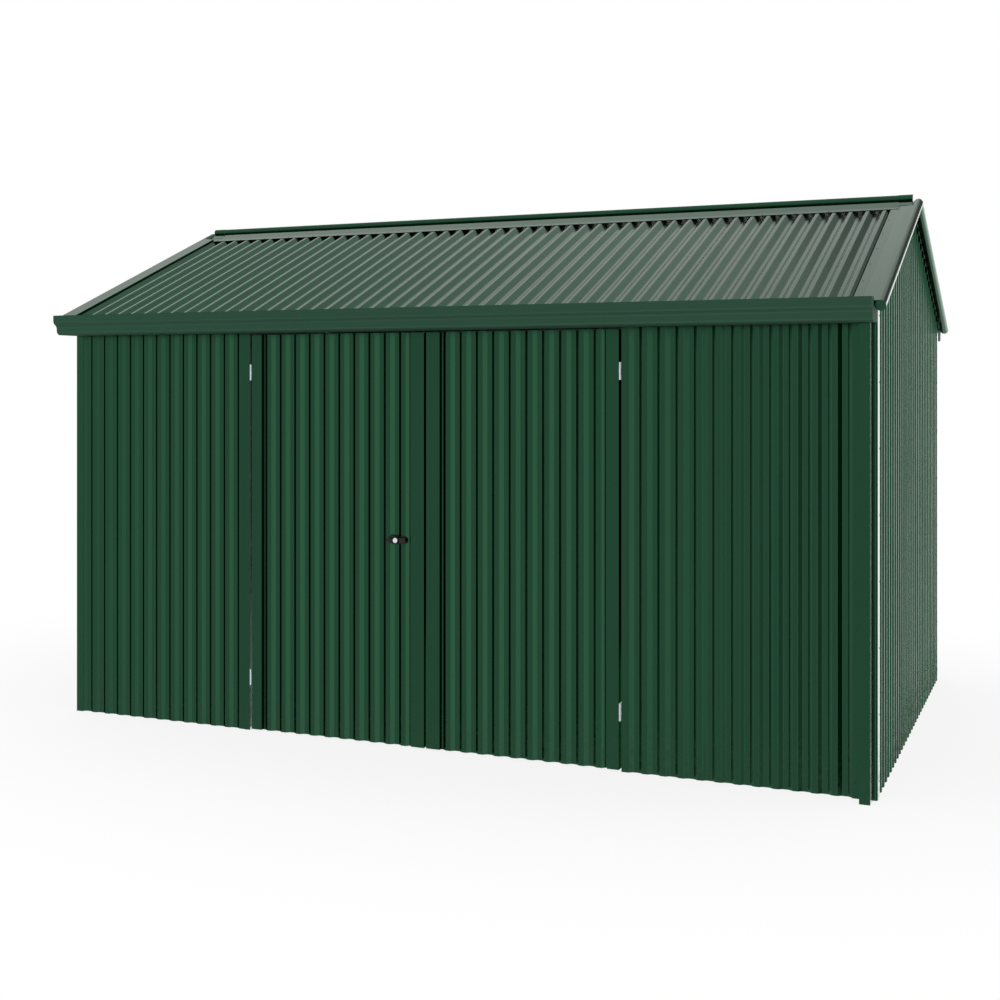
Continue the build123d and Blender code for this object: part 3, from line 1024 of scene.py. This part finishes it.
@dataclass
class LockSet(SubAssembly):
    """Turning handle and key barrel on the left door.

    Args:
        keyway: Width and height of the key slot.
        recess: Depth of the key slot.
        rim: Widths of the two rings of the barrel's raised rim.
        sink: Depth of the barrel's face under its rim.
        wall: Width of the step down to that face.
        sides: Sides of the barrel.
        shade_ring: Radius of the darker ring round the barrel, painted shade of the gap round it.
        sharp: Turn above which an edge of the barrel stays sharp, in degrees.
    """

    keyway: tuple[float, float] = (0.0018, 0.0085)
    recess: float = 0.003
    rim: tuple[float, float] = (0.00048, 0.00072)
    sink: float = 0.0005
    wall: float = 0.0003
    sides: int = 48
    shade_ring: float = 0.0187
    sharp: float = 30.0

    def build(self) -> None:
        """Make the handle, with a darker ring of painted shade round the barrel, and the barrel.
        """
        handle = self.copied("lock_handle")
        Bends(slack=0.0, fold=0.0008, steps=2).rounded(handle)
        low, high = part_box("lock_barrel")
        # Faces of the handle near the barrel get the darker black, painted shade of the gap round
        # it.
        for face in handle.faces:
            away = face.calc_center_median() - (low + high) / 2
            face.material_index = int(math.hypot(away.x, away.z) < self.shade_ring)
        finishes = (LOCK_BLACK, SHADE_RING_BLACK)
        self.placed(handle, "lock_handle_moulded", finishes, Slot.BLACK, ["lock_handle"])
        self._barrel()

    def _barrel(self) -> None:
        """Turn the barrel: a rim, a sunk face and a key slot."""
        low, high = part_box("lock_barrel")
        middle = (low + high) / 2
        radius = (high.x - low.x) / 2
        mesh = bmesh.new()
        front = Matrix.Translation((middle.x, low.y, middle.z))
        lay = front @ Matrix.Rotation(math.pi / 2, 4, "X")
        bmesh.ops.create_circle(
            mesh, cap_ends=True, segments=self.sides, radius=radius, matrix=lay,
        )
        face = mesh.faces[:][0]
        for width in (*self.rim, self.wall):
            bmesh.ops.inset_region(mesh, faces=[face], thickness=width, use_even_offset=True)
        bmesh.ops.translate(mesh, verts=face.verts, vec=(0.0, self.sink, 0.0))
        edge_ring = list(face.edges)
        bmesh.ops.delete(mesh, geom=[face], context="FACES_ONLY")
        across, up = self.keyway[0] / 2, self.keyway[1] / 2
        depth = low.y + self.sink
        corners = [
            mesh.verts.new((middle.x + across * x, depth, middle.z + up * z))
            for x, z in ((-1, -1), (1, -1), (1, 1), (-1, 1))
        ]
        slot_ring = [mesh.edges.new((a, b)) for a, b in zip(corners, corners[1:] + corners[:1])]
        bmesh.ops.bridge_loops(mesh, edges=edge_ring + slot_ring)
        grown = bmesh.ops.extrude_edge_only(mesh, edges=slot_ring)["geom"]
        back = [item for item in grown if isinstance(item, bmesh.types.BMVert)]
        bmesh.ops.translate(mesh, verts=back, vec=(0.0, self.recess, 0.0))
        bmesh.ops.contextual_create(mesh, geom=back)
        outside = [edge for edge in mesh.edges if edge.is_boundary]
        grown = bmesh.ops.extrude_edge_only(mesh, edges=outside)["geom"]
        rear = [item for item in grown if isinstance(item, bmesh.types.BMVert)]
        bmesh.ops.translate(mesh, verts=rear, vec=(0.0, high.y - low.y, 0.0))
        bmesh.ops.contextual_create(mesh, geom=rear)
        bmesh.ops.recalc_face_normals(mesh, faces=mesh.faces)
        turned = BarrelMetal(middle=(middle.x, middle.z))
        nodes = ["lock_barrel"]
        self.placed(mesh, "lock_barrel_turned", (turned,), Slot.SILVER, nodes, self.sharp)


@dataclass
class Card:
    """Curved studio card, dark or bright, that only reflections see.

    Args:
        start: First direction from the shed, in degrees to the right of the front.
        end: Last direction.
        low: Lower edge above the ground, in metres.
        high: Upper edge.
        shade: Brightness of the card.
        radius: Distance from the shed.
        steps: Strips that the card is bent from.
    """

    start: float
    end: float
    low: float
    high: float
    shade: float
    radius: float = 16.0
    steps: int = 24

    def build(self, name: str) -> None:
        """Stand the card up.

        Args:
            name: Name of the card.
        """
        mesh = bmesh.new()
        begin = math.radians(self.start)
        foot = Vector((math.sin(begin), -math.cos(begin), 0.0)) * self.radius
        ends = [mesh.verts.new(foot + Vector((0.0, 0.0, z))) for z in (self.low, self.high)]
        edge = mesh.edges.new(ends)
        bmesh.ops.spin(
            mesh, geom=[*ends, edge], cent=(0, 0, 0), axis=(0, 0, 1),
            angle=math.radians(self.end - self.start), steps=self.steps, use_merge=False,
        )
        data = bpy.data.meshes.new(name)
        mesh.to_mesh(data)
        mesh.free()
        card = bpy.data.objects.new(name, data)
        bpy.context.scene.collection.objects.link(card)
        made = bpy.data.materials.new(name)
        made.use_nodes = True
        bench = Bench(made.node_tree)
        grey = (self.shade, self.shade, self.shade, 1.0)
        bench.surface(bench.node("ShaderNodeEmission", sockets={"Color": grey, "Strength": 1.0}))
        data.materials.append(made)
        for sight in ("camera", "diffuse", "transmission", "shadow", "volume_scatter"):
            setattr(card, f"visible_{sight}", False)


@dataclass
class Studio:
    """Pale floor, white surroundings, one soft lamp, dark and bright cards, and the camera.

    Args:
        camera_spot: Place of the camera.
        camera_turn: Turn of the camera to the left of straight ahead, in degrees.
        lens: Focal length in millimetres.
        sensor: Width of the picture behind the lens, in millimetres.
        shift: Vertical shift of the picture.
        view_end: Distance that the camera sees, in metres.
        sky: Strength of the world on matt surfaces.
        key: Strength of the lamp.
        key_spread: Angle that the lamp fills, in degrees.
        key_tilt: Tilt of the lamp from straight down, in degrees.
        key_turn: Turn of the lamp to the right of the front, in degrees.
        floor_half: Half the side of the floor.
        floor_white: Brightness of the floor.
        oval: Squeeze of the shadow's zone along the shed.
        zone: Distances between which the floor turns white.
        shadow: Share of the real floor under the shed; the rest is white.
        cards: Cards round the shed.
    """

    camera_spot: tuple[float, float, float] = (2.90, -7.32, 1.754)
    camera_turn: float = 22.8
    lens: float = 50.0
    sensor: float = 36.0
    shift: float = -0.1155
    view_end: float = 200.0
    sky: float = 0.80
    key: float = 0.35
    key_spread: float = 25.0
    key_tilt: float = 48.0
    key_turn: float = 28.0
    floor_half: float = 60.0
    floor_white: float = 0.92
    oval: float = 0.72
    zone: tuple[float, float] = (1.6, 3.6)
    shadow: float = 0.18
    cards: Sequence[Card] = (
        Card(-42.0, 26.0, -12.0, 12.0, 0.82),
        Card(26.0, 57.4, -14.0, 14.0, 1.38),
        Card(57.4, 91.0, -14.0, 14.0, 0.02),
        Card(91.0, 120.0, -12.0, 14.0, 1.25),
        Card(120.0, 182.0, -8.0, 5.5, 2.05),
        Card(120.0, 177.0, 5.5, 14.5, 0.16),
        Card(-178.0, -140.0, -1.0, 9.5, 0.08),
        Card(-165.0, -108.0, 9.5, 22.0, 1.06),
        Card(-108.0, -52.0, -10.0, 12.0, 1.20),
    )

    def build(self) -> None:
        """Set up the whole studio."""
        self._world()
        self._floor()
        self._lamp()
        self._camera()
        for number, card in enumerate(self.cards):
            card.build(f"studio_card_{number}")

    def _world(self) -> None:
        """White surroundings for the camera and for reflections, softer light on matt surfaces."""
        world = bpy.data.worlds.new("studio")
        bpy.context.scene.world = world
        world.use_nodes = True
        bench = Bench(world.node_tree)
        seen = bench.node("ShaderNodeLightPath", out="Is Camera Ray")
        for way in ("Is Glossy Ray", "Is Transmission Ray"):
            seen = seen.top(bench.node("ShaderNodeLightPath", out=way))
        white = {"Color": (1.0, 1.0, 1.0, 1.0), "Strength": 1.0}
        soft = {"Color": (1.0, 1.0, 1.0, 1.0), "Strength": self.sky}
        light = bench.node("ShaderNodeBackground", sockets=soft)
        back = bench.node("ShaderNodeBackground", sockets=white)
        bench.surface(bench.node("ShaderNodeMixShader", sockets={0: seen, 1: light, 2: back}))

    def _floor(self) -> None:
        """White floor that keeps a soft shadow near the shed and fades into the white."""
        mesh = bmesh.new()
        bmesh.ops.create_grid(mesh, x_segments=1, y_segments=1, size=self.floor_half)
        data = bpy.data.meshes.new("studio_floor")
        mesh.to_mesh(data)
        mesh.free()
        floor = bpy.data.objects.new("studio_floor", data)
        bpy.context.scene.collection.objects.link(floor)
        made = bpy.data.materials.new("studio_floor")
        made.use_nodes = True
        bench = Bench(made.node_tree)
        spot = bench.node("ShaderNodeTexCoord", out="Object")
        across = bench.node("ShaderNodeSeparateXYZ", sockets={0: spot}, out="X") * self.oval
        along = bench.node("ShaderNodeSeparateXYZ", sockets={0: spot}, out="Y")
        away = ((across * across + along * along) ** 0.5).fade(*self.zone)
        seen = bench.node("ShaderNodeLightPath", out="Is Camera Ray")
        pale = {"Color": (self.floor_white, self.floor_white, self.floor_white, 1.0)}
        glow = {"Color": (1.0, 1.0, 1.0, 1.0), "Strength": 1.0}
        matt = bench.node("ShaderNodeBsdfDiffuse", sockets=pale)
        white = bench.node("ShaderNodeEmission", sockets=glow)
        share = seen * (away * self.shadow + (1.0 - self.shadow))
        bench.surface(bench.node("ShaderNodeMixShader", sockets={0: share, 1: matt, 2: white}))
        data.materials.append(made)
        floor.visible_glossy = False

    def _lamp(self) -> None:
        """One broad key from the front right, high up."""
        data = bpy.data.lights.new("key", "SUN")
        data.energy = self.key
        data.angle = math.radians(self.key_spread)
        lamp = bpy.data.objects.new("key", data)
        lamp.rotation_euler = (math.radians(self.key_tilt), 0.0, math.radians(self.key_turn))
        bpy.context.scene.collection.objects.link(lamp)

    def _camera(self) -> None:
        """Level camera with a vertical shift, as in the photograph."""
        data = bpy.data.cameras.new("photo")
        data.lens = self.lens
        data.sensor_width = self.sensor
        data.shift_y = self.shift
        data.clip_end = self.view_end
        camera = bpy.data.objects.new("photo", data)
        camera.location = self.camera_spot
        camera.rotation_euler = (math.pi / 2, 0.0, math.radians(self.camera_turn))
        bpy.context.scene.collection.objects.link(camera)
        bpy.context.scene.camera = camera


def flashing_rivets() -> list[Rivets]:
    """Rivets of the corner flashings, the barge caps and the ridge cap.

    Returns:
        One piece for each kind of flashing.
    """
    corners, barges, ridge = [], [], []
    for side, y in (("front", -1.0), ("back", 1.0)):
        slope = ROOF_OUT[side]
        ridge.append(Seam("ridge_cap", slope, (0.0, 0.0, -1.0)))
        for hand, x in (("left", -1.0), ("right", 1.0)):
            corner = f"{side}_{hand}_corner"
            corners.append(Seam(corner, (0.0, y, 0.0), (-x, 0.0, 0.0)))
            corners.append(Seam(corner, (x, 0.0, 0.0), (0.0, -y, 0.0)))
            if hand == "right":
                barges.append(Seam(f"{side}_{hand}_barge", slope, (-x, 0.0, 0.0)))
    return [
        Rivets("shed", "corner_rivets", corners, TRIM_PAINT),
        Rivets("shed", "barge_rivets", barges, ROOF_PAINT, step=0.25),
        Rivets("shed", "ridge_rivets", ridge, ROOF_PAINT, step=0.168),
    ]


def sub_assemblies() -> list[SubAssembly]:
    """Sub-assemblies of the shed in building order.

    Returns:
        The groups of pieces, not yet built.
    """
    front, back = (0.0, -1.0, 0.0), (0.0, 1.0, 0.0)
    left, right = (-1.0, 0.0, 0.0), (1.0, 0.0, 0.0)
    walls = {
        "front_left_wall": front, "front_right_wall": front, "back_wall": back,
        "left_gable_wall": left, "right_gable_wall": right, "front_header": front,
    }
    slopes = {f"{side}_roof": out for side, out in ROOF_OUT.items()}
    corners = [f"{a}_{b}_corner" for a in ("front", "back") for b in ("left", "right")]
    pipes = ["front_downpipe", "back_downpipe"]
    lefts = [f"{side}_left_barge" for side in ROOF_OUT]
    caps = {f"{side}_{b}_barge": out for b in ("left", "right") for side, out in ROOF_OUT.items()}
    gutters = ["front_gutter", "back_gutter"]
    channels = [f"{a}_{b}" for b in ("base_channel", "girt") for a in ("left", "right", "back")]
    channels += ["front_base_channels", "front_girts", "front_top_plate", "back_top_plate"]
    tubes = ["left_rafters", "right_rafters", "ridge_purlin", "door_posts"]
    tube_bends = Bends(fold=0.0025)
    soft = Bends(fold=0.004, steps=4)
    small = Bends(slack=0.0, fold=0.0004, steps=2)
    parts: list[SubAssembly] = [
        Cladding("shed", walls),
        Cladding("shed", slopes, ROOF_PAINT, narrow=0.0035, deepen=0.005),
        Folded("shed", corners, TRIM_PAINT),
        BargeCaps("shed", caps, lefts),
        RidgeCaps("shed", ["ridge_cap", "ridge_ends"]),
        # The gutters' faces that look down or along the shed get the lit copy of their paint,
        # painted light where they would mirror dark.
        Folded("shed", gutters, GUTTER_PAINT_WITH_SHEEN, under=UNDER_LIT_COPY),
        Folded("shed", pipes, TRIM_PAINT, bends=soft),
        Folded("shed", channels, GALVANISED, Slot.FRAME),
        Folded("shed", tubes, GALVANISED, Slot.FRAME, tube_bends),
        Folded("shed", ["hinge_leaves"], ZINC_PLATE, Slot.STEEL, small),
    ]
    for hand in ("left", "right"):
        door = f"{hand}_door"
        parts += [
            Cladding(door, {f"{hand}_door_sheet": front}),
            Folded(door, [f"{hand}_door_stiles"], bends=tube_bends),
            Folded(door, [f"{hand}_door_rails"], GALVANISED, Slot.FRAME, tube_bends),
            Folded(door, [f"{hand}_door_hinges"], ZINC_PLATE, Slot.STEEL, small),
        ]
    parts += flashing_rivets()
    plate = Bends(slack=0.0, fold=0.001)
    parts += [Folded("left_door", ["lock_plate"], LOCK_BLACK, Slot.BLACK, plate), LockSet("lock")]
    return parts


def main() -> None:
    """Build the shed's looks and the studio round it."""
    logging.basicConfig(level=logging.INFO, format="%(name)s: %(message)s")
    bpy.context.scene.view_settings.view_transform = "Standard"
    for part in sub_assemblies():
        part.build()
    Studio().build()


if __name__ == "__main__":
    main()
